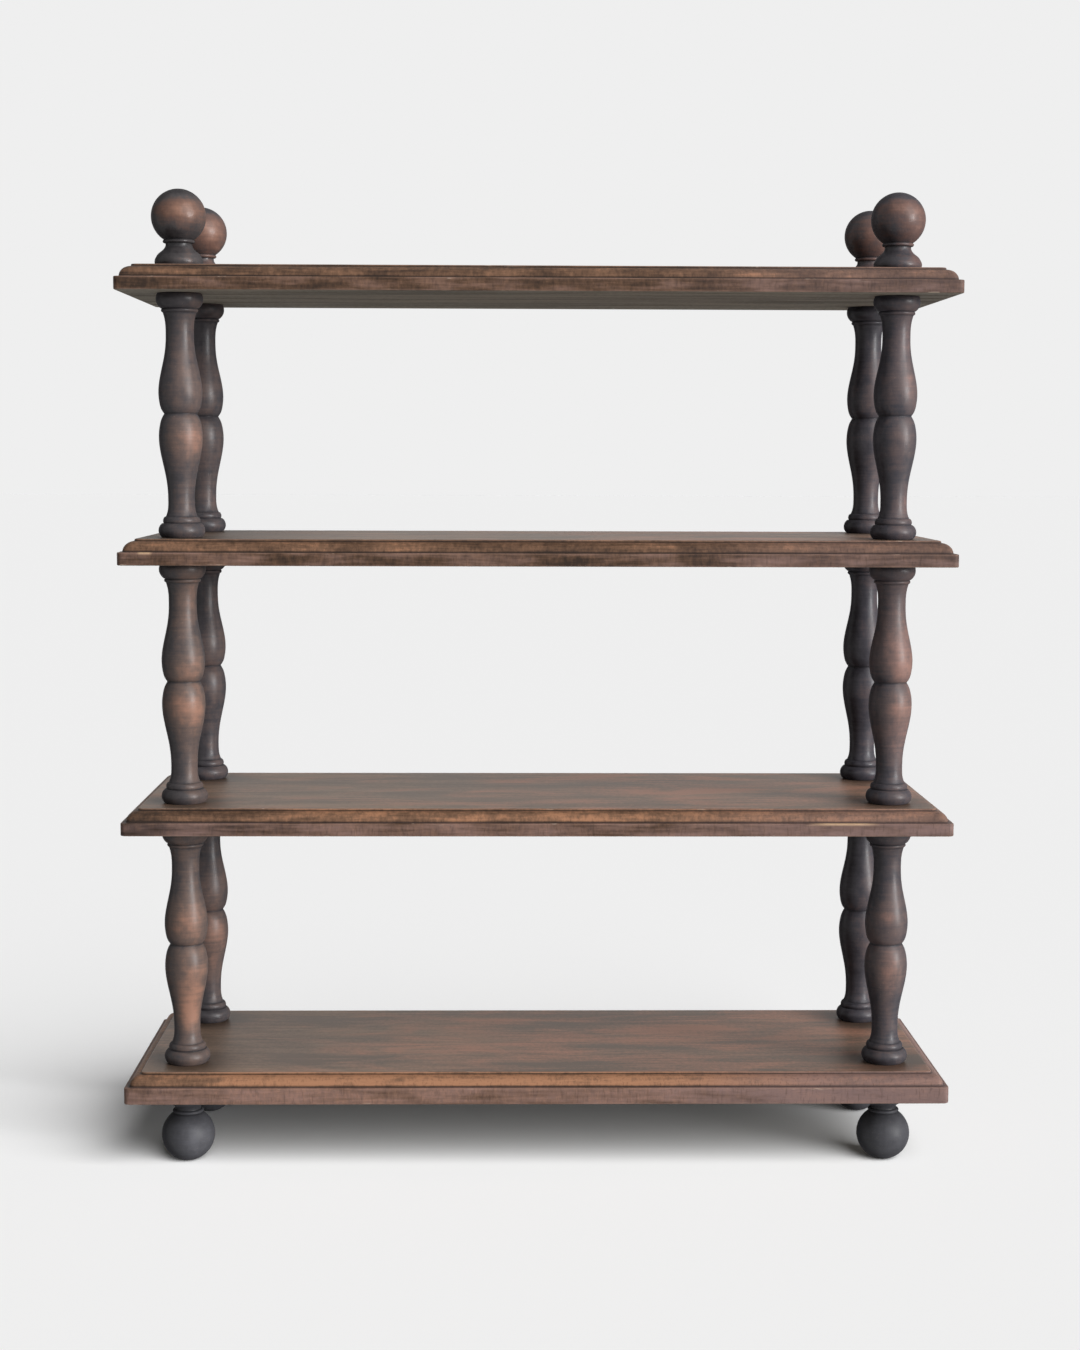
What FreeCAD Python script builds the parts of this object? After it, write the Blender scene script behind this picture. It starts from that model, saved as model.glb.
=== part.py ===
import FreeCAD, Part
import math
import os

# Open shelf: four boards with moulded edges, held apart by turned posts, on ball feet
# and under ball finials. Millimetres, Z up. The origin is on the floor, below the middle
# of the boards. The front faces -Y, and left and right are as seen from the front.

# The whole shelf
board_width = 900.0
board_depth = 320.0
board_thickness = 28.0
base_board_thickness = 32.0
bay_height = 263.0
post_end_inset = 62.0
post_side_inset = 62.0

# Moulded edge of a board, from its upper face down and out
step_depth = 2.4
ovolo_radius = 11.5
ledge_width = 5.0

# Foot of a post: a ring on the board, a groove, a bead and a crease
foot_seat_diameter = 43.0
foot_ring_diameter = 50.6
foot_ring_height = 15.5
foot_shoulder_diameter = 42.4
foot_groove_diameter = 39.2
foot_bead_diameter = 40.6
foot_bead_height = 7.0
foot_crease_diameter = 36.8
foot_flare_diameter = 34.8

# Shaft of a post: two vases that meet at the waist, each with a neck beyond it
waist_height = 133.8
waist_diameter = 35.2
vase_diameter = 47.4
lower_neck_height = 38.0
lower_neck_diameter = 29.0
upper_neck_drop = 42.0
upper_neck_diameter = 30.4

# Head of a post: a bead, a groove and a collar, which meets the board above
head_flare_diameter = 36.4
head_groove_diameter = 37.6
head_bead_diameter = 40.0
head_bead_height = 4.0
collar_height = 16.5
collar_diameter = 50.4
collar_seat_diameter = 47.6

# Finial, and the same turning upside down, shorter in the neck, as a foot of the shelf
finial_height = 83.0
foot_turning_height = 79.0
finial_seat_diameter = 49.0
finial_base_diameter = 52.4
finial_base_height = 10.0
finial_neck_diameter = 28.4
finial_neck_length = 2.4
ball_diameter = 59.0
ball_groove_diameter = 31.6
ball_ring_diameter = 34.6
ball_ring_height = 3.6
floor_flat_depth = 0.8

# Threaded stud through a board, and the threaded inserts that it screws into
stud_diameter = 8.0
stud_engagement = 18.0
stud_chamfer = 0.8
stud_hole_clearance = 0.4
insert_diameter = 12.0
insert_length = 15.0
insert_recess = 0.5
insert_clearance = 0.05
thread_clearance = 0.1
bore_end_gap = 2.0

# How far a cutter runs past the face that it opens
overrun = 1.0

# A vase from its neck to the waist: share of the way along, share of the way out to its widest
vase_shares = (
    (0.15, 0.045), (0.31, 0.27), (0.46, 0.60), (0.60, 0.88), (0.73, 1.0), (0.86, 0.89), (0.95, 0.63),
)

# A hollow that spreads from a neck to a bead, and to a finial's base, in the same terms
flare_shares = ((0.35, 0.07), (0.70, 0.40))
base_flare_shares = ((0.22, 0.12), (0.50, 0.45), (0.78, 0.85))

# Heights of the widest circle of a rounded band, as a share of the band
foot_ring_share = 0.52
collar_share = 0.45

tiers = ("low", "mid", "high")
boards = ("bottom", "lower", "upper", "top")
foot_height = foot_turning_height - floor_flat_depth
bore_depth = stud_engagement + bore_end_gap
post_x = board_width / 2 - post_end_inset
post_y = board_depth / 2 - post_side_inset
corners = {
    "front_left": FreeCAD.Vector(-post_x, -post_y, 0),
    "front_right": FreeCAD.Vector(post_x, -post_y, 0),
    "rear_left": FreeCAD.Vector(-post_x, post_y, 0),
    "rear_right": FreeCAD.Vector(post_x, post_y, 0),
}


def thickness(level):
    """Thickness of a board. The bottom board, level 0, is thicker than the others."""
    return board_thickness if level else base_board_thickness


def board_base(level):
    """Height of a board's underside."""
    return foot_height + sum(thickness(below) + bay_height for below in range(level))


def board_face(level):
    """Height of a board's upper face."""
    return board_base(level) + thickness(level)


def at(diameter, height):
    """Point of a turning's outline, in the XZ plane."""
    return FreeCAD.Vector(diameter / 2, 0, height)


def edge(points):
    """Line through two points, arc through three, one smooth curve through more."""
    if len(points) == 2:
        return Part.LineSegment(*points).toShape()
    if len(points) == 3:
        return Part.Arc(*points).toShape()
    path = Part.BSplineCurve()
    path.interpolate(points)
    return path.toShape()


def outline(start, steps):
    """Edges end to end: each step holds the next points, and starts where the last one stopped."""
    edges = []
    for step in steps:
        edges.append(edge([start] + step))
        start = step[-1]
    return edges


def turned(steps):
    """Solid of revolution about Z. Its outline leaves the axis at height 0 and comes back to it."""
    edges = outline(FreeCAD.Vector(), steps)
    edges.append(edge([steps[-1][-1], FreeCAD.Vector()]))
    face = Part.Face(Part.Wire(edges))
    return face.revolve(FreeCAD.Vector(), FreeCAD.Vector(0, 0, 1), 360)


def swell(start, end, shares):
    """Points on the way from start to end: a share of the way along and a share of the way out."""
    way = end - start
    return [start + FreeCAD.Vector(out * way.x, 0, along * way.z) for along, out in shares]


def rod(diameter, low, high):
    """Upright cylinder on the Z axis, between two heights."""
    return Part.makeCylinder(diameter / 2, high - low, FreeCAD.Vector(0, 0, low))


def insert_bore(low, high):
    """Cutter for the blind bore that takes an insert."""
    return rod(insert_diameter + 2 * insert_clearance, low, high)


def neck_and_vase(flare, neck, waist):
    """Points after the flare, in through the neck, out over the vase and down into the waist."""
    widest = FreeCAD.Vector(vase_diameter / 2, 0, waist.z)
    hollow = swell(neck, flare, flare_shares)[::-1]
    return hollow + [neck] + swell(neck, widest, vase_shares) + [waist]


def spindle():
    """Turned post, from the board that it stands on up to the board that it carries."""
    ring_top = foot_ring_height
    ring_widest = ring_top * foot_ring_share
    bead_top = ring_top + foot_bead_height
    collar_low = bay_height - collar_height
    collar_widest = collar_low + collar_height * collar_share
    bead_low = collar_low - head_bead_height
    waist = at(waist_diameter, waist_height)
    low_flare = at(foot_flare_diameter, bead_top)
    low_neck = at(lower_neck_diameter, lower_neck_height)
    high_flare = at(head_flare_diameter, bead_low)
    high_neck = at(upper_neck_diameter, bay_height - upper_neck_drop)
    upper_shaft = ([high_flare] + neck_and_vase(high_flare, high_neck, waist))[::-1]
    post = turned([
        [at(foot_seat_diameter, 0)],
        [at(foot_ring_diameter, ring_widest), at(foot_shoulder_diameter, ring_top)],
        [at(foot_groove_diameter, ring_top)],
        [at(foot_bead_diameter, (ring_top + bead_top) / 2), at(foot_crease_diameter, bead_top)],
        [low_flare],
        neck_and_vase(low_flare, low_neck, waist),
        upper_shaft[1:],
        [at(head_groove_diameter, bead_low)],
        [at(head_bead_diameter, (bead_low + collar_low) / 2), at(head_groove_diameter, collar_low)],
        [at(head_bead_diameter, collar_low)],
        [at(collar_diameter, collar_widest), at(collar_seat_diameter, bay_height)],
        [at(0, bay_height)],
    ])
    post = post.cut(insert_bore(-overrun, bore_depth))
    return post.cut(insert_bore(bay_height - bore_depth, bay_height + overrun))


def ball_turning(height):
    """Ball on a ring, a neck and a flared base, standing at height 0."""
    ball_radius = ball_diameter / 2
    ball_middle = height - ball_radius
    ball_foot = ball_middle - math.sqrt(ball_radius ** 2 - (ball_groove_diameter / 2) ** 2)
    ring_low = ball_foot - ball_ring_height
    base = at(finial_seat_diameter, finial_base_height)
    neck = at(finial_neck_diameter, ring_low - finial_neck_length)
    body = turned([
        [at(finial_seat_diameter, 0)],
        [at(finial_base_diameter, finial_base_height / 2), base],
        swell(neck, base, base_flare_shares)[::-1] + [neck],
        [at(finial_neck_diameter, ring_low)],
        [at(ball_groove_diameter, ring_low)],
        [at(ball_ring_diameter, (ring_low + ball_foot) / 2), at(ball_groove_diameter, ball_foot)],
        [at(ball_diameter, ball_middle), at(0, height)],
    ])
    return body.cut(insert_bore(-overrun, bore_depth))


def foot():
    """The ball turning upside down, with a flat where the ball stands on the floor."""
    body = ball_turning(foot_turning_height)
    body.rotate(FreeCAD.Vector(), FreeCAD.Vector(1, 0, 0), 180)
    body.translate(FreeCAD.Vector(0, 0, foot_height))
    return body.cut(rod(ball_diameter, -floor_flat_depth - overrun, 0))


def moulded_bar(width, length, thick):
    """Bar along Y with a board's section: flat above and below, moulded on both edges."""
    band_top = thick - step_depth - ovolo_radius
    ovolo_top = at(width - 2 * (ledge_width + ovolo_radius), band_top + ovolo_radius)
    ovolo_low = at(width - 2 * ledge_width, band_top)
    corner = FreeCAD.Vector(ovolo_top.x, 0, ovolo_low.z)
    ovolo_middle = corner + (ovolo_top + ovolo_low - corner - corner) / math.sqrt(2)
    half = Part.Wire(outline(at(0, 0), [
        [at(width, 0)],
        [at(width, band_top)],
        [ovolo_low],
        [ovolo_middle, ovolo_top],
        [FreeCAD.Vector(ovolo_top.x, 0, thick)],
        [at(0, thick)],
    ]))
    other = half.mirror(FreeCAD.Vector(), FreeCAD.Vector(1, 0, 0))
    section = Part.Face(Part.Wire([half, other]))
    section.translate(FreeCAD.Vector(0, -length / 2, 0))
    return section.extrude(FreeCAD.Vector(0, length, 0))


def board(thick):
    """Moulded on all four edges and mitred at the corners, with a clear hole for each stud."""
    long_edges = moulded_bar(board_depth, board_width, thick)
    long_edges.rotate(FreeCAD.Vector(), FreeCAD.Vector(0, 0, 1), 90)
    blank = long_edges.common(moulded_bar(board_width, board_depth, thick)).removeSplitter()
    hole = rod(stud_diameter + 2 * stud_hole_clearance, -overrun, thick + overrun)
    return blank.cut([hole.translated(corner) for corner in corners.values()])


def stud(thick):
    """Threaded stud, chamfered at both ends, through a board whose underside is at height 0."""
    body = rod(stud_diameter, -stud_engagement, thick + stud_engagement)
    rims = [rim for rim in body.Edges if isinstance(rim.Curve, Part.Circle)]
    return body.makeChamfer(stud_chamfer, rims)


def insert(mouth):
    """Threaded sleeve below the given mouth height."""
    low = mouth - insert_recess - insert_length
    high = mouth - insert_recess
    bore = rod(stud_diameter + 2 * thread_clearance, low - overrun, high + overrun)
    return rod(insert_diameter, low, high).cut(bore)


def insert_pair(thick):
    """The inserts below and above a board whose underside is at height 0."""
    below = insert(0)
    above = insert(thick + insert_length + 2 * insert_recess)
    return Part.Compound([below, above])


def write(name, shape, height, places):
    """One file for a node: a copy of the shape at each place, raised to the height."""
    lift = FreeCAD.Vector(0, 0, height)
    copies = [shape.translated(place + lift) for place in places]
    solids = [solid for copy in copies for solid in copy.Solids]
    node = solids[0] if len(solids) == 1 else Part.Compound(solids)
    node.exportStep(f"parts/{name}.step")


def main():
    os.makedirs("parts", exist_ok=True)
    post = spindle()
    finial = ball_turning(finial_height)
    centre = [FreeCAD.Vector()]
    for level, name in enumerate(boards):
        thick = thickness(level)
        write(f"shelf_{name}", board(thick), board_base(level), centre)
        write(f"studs_{name}", stud(thick), board_base(level), corners.values())
        write(f"inserts_{name}", insert_pair(thick), board_base(level), corners.values())
    for corner, place in corners.items():
        write(f"foot_{corner}", foot(), 0, [place])
        write(f"finial_{corner}", finial, board_face(len(tiers)), [place])
        for level, tier in enumerate(tiers):
            write(f"spindle_{tier}_{corner}", post, board_face(level), [place])


main()
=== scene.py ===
import math

import bpy
import numpy as np
from bpy.props import FloatProperty, FloatVectorProperty, IntProperty, PointerProperty
from mathutils import Matrix, Vector
from mathutils.geometry import tessellate_polygon


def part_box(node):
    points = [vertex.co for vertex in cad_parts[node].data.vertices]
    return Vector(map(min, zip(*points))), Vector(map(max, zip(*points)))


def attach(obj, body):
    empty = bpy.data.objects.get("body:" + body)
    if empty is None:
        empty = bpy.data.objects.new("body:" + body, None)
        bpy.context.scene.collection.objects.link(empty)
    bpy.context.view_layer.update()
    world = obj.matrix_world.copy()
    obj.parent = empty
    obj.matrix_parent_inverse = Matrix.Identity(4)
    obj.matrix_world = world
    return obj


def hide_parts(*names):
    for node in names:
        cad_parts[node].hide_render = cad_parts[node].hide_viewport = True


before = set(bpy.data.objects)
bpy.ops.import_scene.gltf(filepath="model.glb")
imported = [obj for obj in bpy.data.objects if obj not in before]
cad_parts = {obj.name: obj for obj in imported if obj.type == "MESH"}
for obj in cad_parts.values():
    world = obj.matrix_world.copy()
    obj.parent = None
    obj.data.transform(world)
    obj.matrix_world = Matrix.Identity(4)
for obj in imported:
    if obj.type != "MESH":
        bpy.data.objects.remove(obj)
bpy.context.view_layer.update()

bl_info = {
    "name": "Open shelf on turned posts",
    "version": (1, 0, 0),
    "blender": (4, 5, 0),
    "location": "View3D > Sidebar > Shelf",
    "description": "Stained boards with a moulded edge on turned posts, with ball finials and feet",
    "category": "Object",
}

BOARDS = ("bottom", "lower", "upper", "top")
CORNERS = ("front_left", "front_right", "rear_left", "rear_right")

# A vase from its neck to the waist, and the hollows that spread from a neck to a bead and to a
# finial's base: share of the way along, share of the way out
VASE = ((0.15, 0.045), (0.31, 0.27), (0.46, 0.60), (0.60, 0.88), (0.73, 1.0), (0.86, 0.89),
        (0.95, 0.63))
FLARE = ((0.35, 0.07), (0.70, 0.40))
BASE_FLARE = ((0.22, 0.12), (0.50, 0.45), (0.78, 0.85))

# Stain of each turning, with painted light and shade in it: how thin it is as a whole, how far its
# brown leans to mauve, and where it is rubbed thin or has gathered, as height share, bearing in
# degrees from the front towards the right, half height share, half width in degrees and strength.
# The patches towards the right front are partly wear and partly painted light where the lamps fall;
# those at bearing -85 are painted shade on the left side
POST_STAIN_AND_LIGHT = {
    "low": {
        "front_left": (0.46, 0.1, (
            (0.22, 15, 0.08, 60, 0.55), (0.36, 25, 0.1, 60, 0.3), (0.62, 15, 0.1, 60, 0.25),
            (0.55, -85, 0.4, 55, -0.1))),
        "front_right": (0.4, 0.6, (
            (0.4, 5, 0.07, 60, 0.34), (0.62, 10, 0.1, 60, 0.1), (0.35, 60, 0.22, 50, -0.16),
            (0.02, 0, 0.06, 150, 0.08))),
        "rear_left": (0.38, 0.3, ((0.42, 20, 0.08, 60, 0.3), (0.25, 20, 0.06, 60, 0.25))),
        "rear_right": (0.34, 0.7, ()),
    },
    "mid": {
        "front_left": (0.42, 0.12, (
            (0.4, 15, 0.08, 80, 0.45), (0.56, 20, 0.06, 70, 0.3), (0.8, 10, 0.12, 60, 0.2),
            (0.45, -85, 0.6, 55, -0.13))),
        "front_right": (0.53, 0.75, (
            (0.41, 20, 0.06, 55, 0.28), (0.58, 30, 0.07, 50, 0.22), (0.75, 20, 0.1, 60, 0.15))),
        "rear_left": (0.34, 0.4, ((0.62, 0, 0.08, 60, 0.1),)),
        "rear_right": (0.3, 0.8, ()),
    },
    "high": {
        "front_left": (0.36, 0.25, (
            (0.4, 20, 0.07, 70, 0.3), (0.62, 20, 0.09, 70, 0.16), (0.88, 20, 0.05, 80, 0.1),
            (0.45, -85, 0.6, 55, -0.16))),
        "front_right": (0.34, 0.75, (
            (0.42, 25, 0.08, 60, 0.12), (0.64, 30, 0.09, 60, 0.16), (0.14, 0, 0.2, 150, 0.17),
            (0.98, 0, 0.08, 150, 0.14))),
        "rear_left": (0.34, 0.35, ((0.4, 10, 0.08, 60, 0.1),)),
        "rear_right": (0.34, 0.7, ()),
    },
}
# Every post is darker at its two ends, where it meets a board
POST_ENDS = ((0.0, 0, 0.07, 400, -0.16), (1.0, 0, 0.06, 400, -0.14))
# Stain of each finial, in the same columns as the posts; the dark patch over the crown of the ball,
# at height share 1.02, is painted shade on the top of the ball
FINIAL_STAIN_AND_SHADE = {
    "front_left": (0.26, 0.0, (
        (0.7, -5, 0.18, 65, 0.34), (0.66, 50, 0.18, 60, 0.18), (1.02, 0, 0.15, 400, -0.42),
        (0.1, 0, 0.2, 400, -0.16))),
    "front_right": (0.36, 0.5, (
        (0.8, 0, 0.1, 40, 0.32), (0.62, 10, 0.2, 80, 0.14), (1.02, 0, 0.13, 400, -0.28),
        (0.1, 0, 0.2, 400, -0.12))),
    "rear_left": (0.38, 0.2, ((0.68, 30, 0.22, 80, 0.2), (1.02, 0, 0.13, 400, -0.25))),
    "rear_right": (0.38, 0.4, ((0.68, 0, 0.22, 80, 0.16), (1.02, 0, 0.13, 400, -0.25))),
}
FOOT_STAIN = {
    "front_left": (0.44, 0.0, ((0.35, 30, 0.22, 50, 0.28),)),
    "front_right": (0.42, 0.0, ()),
    "rear_left": (0.36, 0.0, ()),
    "rear_right": (0.36, 0.0, ()),
}

# Stain of each board: how light its quarter round and its square band are, how mauve the band is as
# a whole and the edge at its right end, how dark the faces become towards the left end, how red
# they become and from where to where across the width, and the splinters torn from the front ledge,
# as place across the width and half length
TONE_KEYS = ("round", "band", "mauve", "end", "dusk", "red", "red_from", "red_to", "splinters")
BOARD_TONES = {
    "bottom": (0.66, 0.47, 0.36, 0.85, 0.0, 0.9, -0.3, 0.1, ()),
    "lower": (0.48, 0.32, 0.25, 0.45, 0.0, 0.7, -0.25, 0.15, ((0.329, 0.042),)),
    "upper": (0.31, 0.23, 0.0, 0.35, 0.85, 0.6, -0.2, 0.2, ((-0.42, 0.008),)),
    "top": (0.26, 0.17, -0.1, 0.4, 0.2, 0.5, -0.2, 0.3, ()),
}

# Along a board's front edge: place across the width, half width, strength on the quarter
# round and strength on the square band
EDGE_RUBS = {
    "bottom": (
        (-0.44, 0.08, -1.1, -0.3), (-0.25, 0.2, 0.95, 0.3), (0.05, 0.25, 0.75, 0.2),
        (0.3, 0.12, 0.1, 0.1)),
    "lower": (
        (-0.42, 0.12, -1.3, -0.8), (-0.22, 0.16, 0.6, 0.2), (0.0, 0.22, 0.65, 0.15),
        (0.32, 0.14, 0.55, 0.3)),
    "upper": ((-0.45, 0.05, -0.4, -0.2), (-0.25, 0.22, 0.55, 0.1), (0.15, 0.25, 0.5, 0.1)),
    "top": ((-0.2, 0.25, 0.3, 0.22), (0.1, 0.2, 0.35, 0.18), (0.3, 0.15, 0.2, 0.05)),
}


# Points taken along a straight run, an arc and a smooth curve of an outline
LINE_POINTS, ARC_POINTS, CURVE_POINTS = 40, 120, 600
# An outline is worn at steps of STEP with a bell curve that reaches REACH to each side, and its
# bend is averaged with one of the width BEND_WIDTH, all in metres
STEP, REACH, BEND_WIDTH = 0.00005, 0.006, 0.0009
# Bend, in radians per metre, at which a crest or a hollow sets in, and what is added for a full one
CREST_FROM, CREST_SPAN, HOLLOW_FROM, HOLLOW_SPAN = 110, 420, 70, 330
# Turn that gives one more row, on a turning and on a board's edge
TURNING_TURN, EDGE_TURN = math.radians(12), math.radians(14)
# Distance between rows on a board's edge, and how far its section reaches in over the flat faces
EDGE_EVEN, EDGE_REACH = 0.0022, 0.030
# Angle from which two faces meet in a sharp edge
SHARP = math.radians(50)
# Columns of a hole through a board, and steps of the quarter circle at a board's corner
HOLE_COLUMNS, QUARTER_STEPS = 24, 6
# How rubbed a board's edge is all round, and how fast the rubs of its front fade to the rear
EDGE_RUB, FRONT_POWER = 0.18, 4
# Ripples of a turning: swells in a round, turn per metre of height and size, and the radius from
# which they are full
RIPPLES, RIPPLE_RADIUS = ((2, 9, 1.0), (3, -31, 0.5)), 0.012
# Painted light and shade on a turning, lighter on the side that faces the lamps and darker behind:
# bearing of the lit side in degrees, change behind, and gain from there to the lit front
PAINTED_LIGHT_BEARING, PAINTED_SHADE_BEHIND, PAINTED_LIGHT_GAIN = 35, -0.19, 0.26
# Radius at which a turning starts to count as a swell, and what is added for a full one
SWELL_FROM, SWELL_SPAN = 0.0145, 0.0095
# How far the grain of a turning is moved for each unit of its seed, and the first seed of each kind
GRAIN_SHIFT = (0.31, 0.17, 0.43)
POST_SEED, FINIAL_SEED, FOOT_SEED = 10, 40, 50
# Where the foot ring and the collar of a post are widest, as a share of their height
FOOT_RING_SWELL, COLLAR_SWELL = 0.52, 0.45
# Shades of the feet from thick to rubbed stain, as factors of their charcoal
FOOT_SHADES = (0.45, 1.0, 1.5, 2.4)

# Colours that no setting changes: painted shade in the inner corners of an edge, stain on its
# crests, where it is chipped or torn and in the pores, the pale specks of a turning, partly marks
# and partly painted glints, and what turns its brown to mauve
CORNER_SHADE, CREST_STAIN = (0.016, 0.011, 0.009), (0.300, 0.190, 0.150)
CHIPPED, TORN = (0.520, 0.400, 0.310), (0.640, 0.430, 0.270)
PORE_STAIN, SPECK_AND_GLINT, MAUVE_TINT = (0.020, 0.014, 0.011), (0.340, 0.240, 0.195), (0.90, 0.98, 1.22)

# Half the width of the floor. The camera that was fitted to the photograph: lens and sensor in
# millimetres, how far it sees, its turn to the left, downwards and about its own axis in radians,
# and its place
FLOOR_HALF = 40.0
LENS, SENSOR, SIGHT = 63.01, 36.0, 200.0
YAW, PITCH, ROLL = -0.0181, 0.0942, 0.0033
EYE = (-0.0445, -2.6791, 0.7863)


# Kinds of settings: metres with their unit, a linear colour as a swatch, a number from 0 to 1, an
# angle shown in degrees, and the strength of a lamp
KINDS = {
    "length": (FloatProperty, {"min": 0.0, "unit": "LENGTH", "precision": 4}),
    "colour": (FloatVectorProperty, {"size": 3, "min": 0.0, "max": 1.0, "subtype": "COLOR"}),
    "share": (FloatProperty, {"min": 0.0, "max": 1.0, "subtype": "FACTOR"}),
    "angle": (FloatProperty, {"subtype": "ANGLE"}),
    "strength": (FloatProperty, {"min": 0.0}),
}


def settings(kind, table):
    """Properties of one kind for a group: for each key its description, its default and, where the
    key itself doesn't say it well, its name."""
    prop, options = KINDS[kind]
    found = {}
    for key, (about, default, *name) in table.items():
        name = name[0] if name else key.replace("_", " ").capitalize()
        found[key] = prop(name=name, description=about, default=default, **options)
    return found


def lamp_settings():
    """Strength of each lamp, its bearing from the front towards the right, its rise above the floor
    and its width."""
    found = {}
    for lamp, (name, what, strength, *degrees) in LAMPS.items():
        found |= settings("strength", {lamp: (f"Strength of the {what}", strength, name)})
        found |= settings("angle", {
            f"{lamp}_{part}": (about.format(what), math.radians(value), f"{name} {part}")
            for (part, about), value in zip(LAMP_ANGLES.items(), degrees)})
    return found


base_low, base_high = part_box("shelf_bottom")
board_low, board_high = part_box("shelf_lower")
foot_low, foot_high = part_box("foot_front_left")
post_low, post_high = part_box("spindle_low_front_left")
finial_low, finial_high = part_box("finial_front_left")


class ShelfBoards(bpy.types.PropertyGroup):
    __annotations__ = settings("length", {
        "width": ("Board from end to end", board_high.x - board_low.x),
        "depth": ("Board from front to rear", board_high.y - board_low.y),
        "thickness": ("Board from face to face", board_high.z - board_low.z),
        "base_thickness": ("Bottom board from face to face", base_high.z - base_low.z),
        "step": ("Square step above the quarter round", 0.0024),
        "ovolo": ("Radius of the convex quarter round", 0.0115, "Quarter round"),
        "ledge": ("Flat ledge below the quarter round", 0.005),
        "worn": ("How far the sharp edges are worn round", 0.0008, "Worn edges"),
        "corner": ("Radius of the corners, seen from above", 0.006, "Corners"),
        "hole": ("Diameter of the hole at each post", 0.0088, "Stud hole"),
        "pitch": ("Distance between sections along an edge", 0.004),
    })


class ShelfPosts(bpy.types.PropertyGroup):
    __annotations__ = settings("length", {
        "height": ("Post from board to board", post_high.z - post_low.z),
        "foot_seat": ("Diameter on the board", 0.043),
        "foot_ring": ("Diameter of the ring at the foot", 0.0506),
        "foot_ring_height": ("Height of the ring at the foot", 0.0155),
        "foot_shoulder": ("Diameter at the top of the ring", 0.0424),
        "foot_groove": ("Diameter in the groove below the bead", 0.0392),
        "foot_bead": ("Diameter of the bead above the ring", 0.0406),
        "foot_bead_height": ("Height of the bead above the ring", 0.007),
        "foot_crease": ("Diameter in the crease above the bead", 0.0368),
        "foot_flare": ("Diameter of the shaft on the bead", 0.0348),
        "waist_height": ("Height of the groove between the vases", 0.1338),
        "waist": ("Diameter in the groove between the vases", 0.0352),
        "vase": ("Widest diameter of a vase", 0.0474),
        "low_neck_height": ("Height of the thinnest place below", 0.038, "Lower neck height"),
        "low_neck": ("Diameter of the thinnest place below", 0.029, "Lower neck"),
        "high_neck_drop": ("Distance of the upper neck below the top", 0.042, "Upper neck drop"),
        "high_neck": ("Diameter of the thinnest place above", 0.0304, "Upper neck"),
        "head_flare": ("Diameter of the shaft under the bead", 0.0364),
        "head_groove": ("Diameter in the grooves beside the head bead", 0.0376),
        "head_bead": ("Diameter of the bead under the collar", 0.040),
        "head_bead_height": ("Height of the bead under the collar", 0.004),
        "collar_height": ("Height of the collar", 0.0165),
        "collar": ("Widest diameter of the collar", 0.0504),
        "collar_seat": ("Diameter under the next board", 0.0476),
    })


class ShelfBalls(bpy.types.PropertyGroup):
    __annotations__ = settings("length", {
        "height": ("Finial from the board to the top of its ball", finial_high.z - finial_low.z),
        "seat": ("Diameter on the board", 0.049),
        "base": ("Widest diameter of the flared base", 0.0524),
        "base_height": ("Height of the rounded base", 0.010),
        "neck": ("Diameter of the neck", 0.0284),
        "foot_height": ("Foot from the floor to the board", foot_high.z - foot_low.z),
        "neck_length": ("Straight length of the neck", 0.0024),
        "ball": ("Diameter of the ball", 0.059),
        "groove": ("Diameter in the grooves beside the ring", 0.0316, "Ball groove"),
        "ring": ("Diameter of the ring under the ball", 0.0346, "Ball ring"),
        "ring_height": ("Height of the ring under the ball", 0.0036, "Ball ring height"),
        "floor_flat": ("How much of the ball is cut flat where a foot stands", 0.0008),
    })


class ShelfLathe(bpy.types.PropertyGroup):
    __annotations__ = settings("length", {
        "worn": ("How far sharp edges are worn round", 0.0005, "Worn edges"),
        "bore": ("Diameter of the bore for an insert", 0.0121),
        "bore_depth": ("Depth of the bore for an insert", 0.020),
        "even": ("Distance between rows on a straight run", 0.0022, "Row spacing"),
        "out_of_round": ("How far a turning is from a true circle", 0.00012),
    }) | {"segments": IntProperty(
        name="Segments", description="Columns round a turning", default=96, min=24, max=256)}


class ShelfFinish(bpy.types.PropertyGroup):
    __annotations__ = settings("colour", {
        "face_dark": ("Dark stain in the grain of the boards' faces", (0.158, 0.106, 0.075)),
        "face_light": ("Lighter stain of the boards' faces", (0.325, 0.220, 0.154)),
        "face_red": ("Reddish stain of the boards' faces", (0.455, 0.232, 0.156)),
        "edge_dark": ("Thick stain on the boards' edges", (0.034, 0.021, 0.015)),
        "edge_stain": ("Brown stain on the boards' edges", (0.104, 0.058, 0.036)),
        "edge_thin": ("Thin reddish stain on the boards' edges", (0.205, 0.112, 0.068)),
        "edge_rubbed": ("Bare wood where an edge is rubbed", (0.400, 0.200, 0.112)),
        "edge_mauve": ("Faded stain on the square band", (0.242, 0.162, 0.155)),
        # The underside's thin stain, painted lighter to stand in for the light that the floor
        # throws up
        "under": ("Thin dark stain below a board", (0.450, 0.405, 0.335), "Underside"),
        "post_dark": ("Nearly black stain on the turnings", (0.020, 0.018, 0.020)),
        "post_charcoal": ("Charcoal stain on the turnings", (0.056, 0.049, 0.050)),
        "post_brown": ("Thin brown stain on the turnings", (0.130, 0.088, 0.072)),
        "finial_brown": ("Thin brown stain on the finials", (0.146, 0.080, 0.060)),
        "post_rubbed": ("Reddish wood where a turning is rubbed", (0.300, 0.160, 0.110)),
        "foot_dark": ("Charcoal stain on the feet", (0.048, 0.048, 0.054)),
        "steel": ("Zinc plating of the studs and inserts", (0.62, 0.62, 0.60)),
    })


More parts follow.
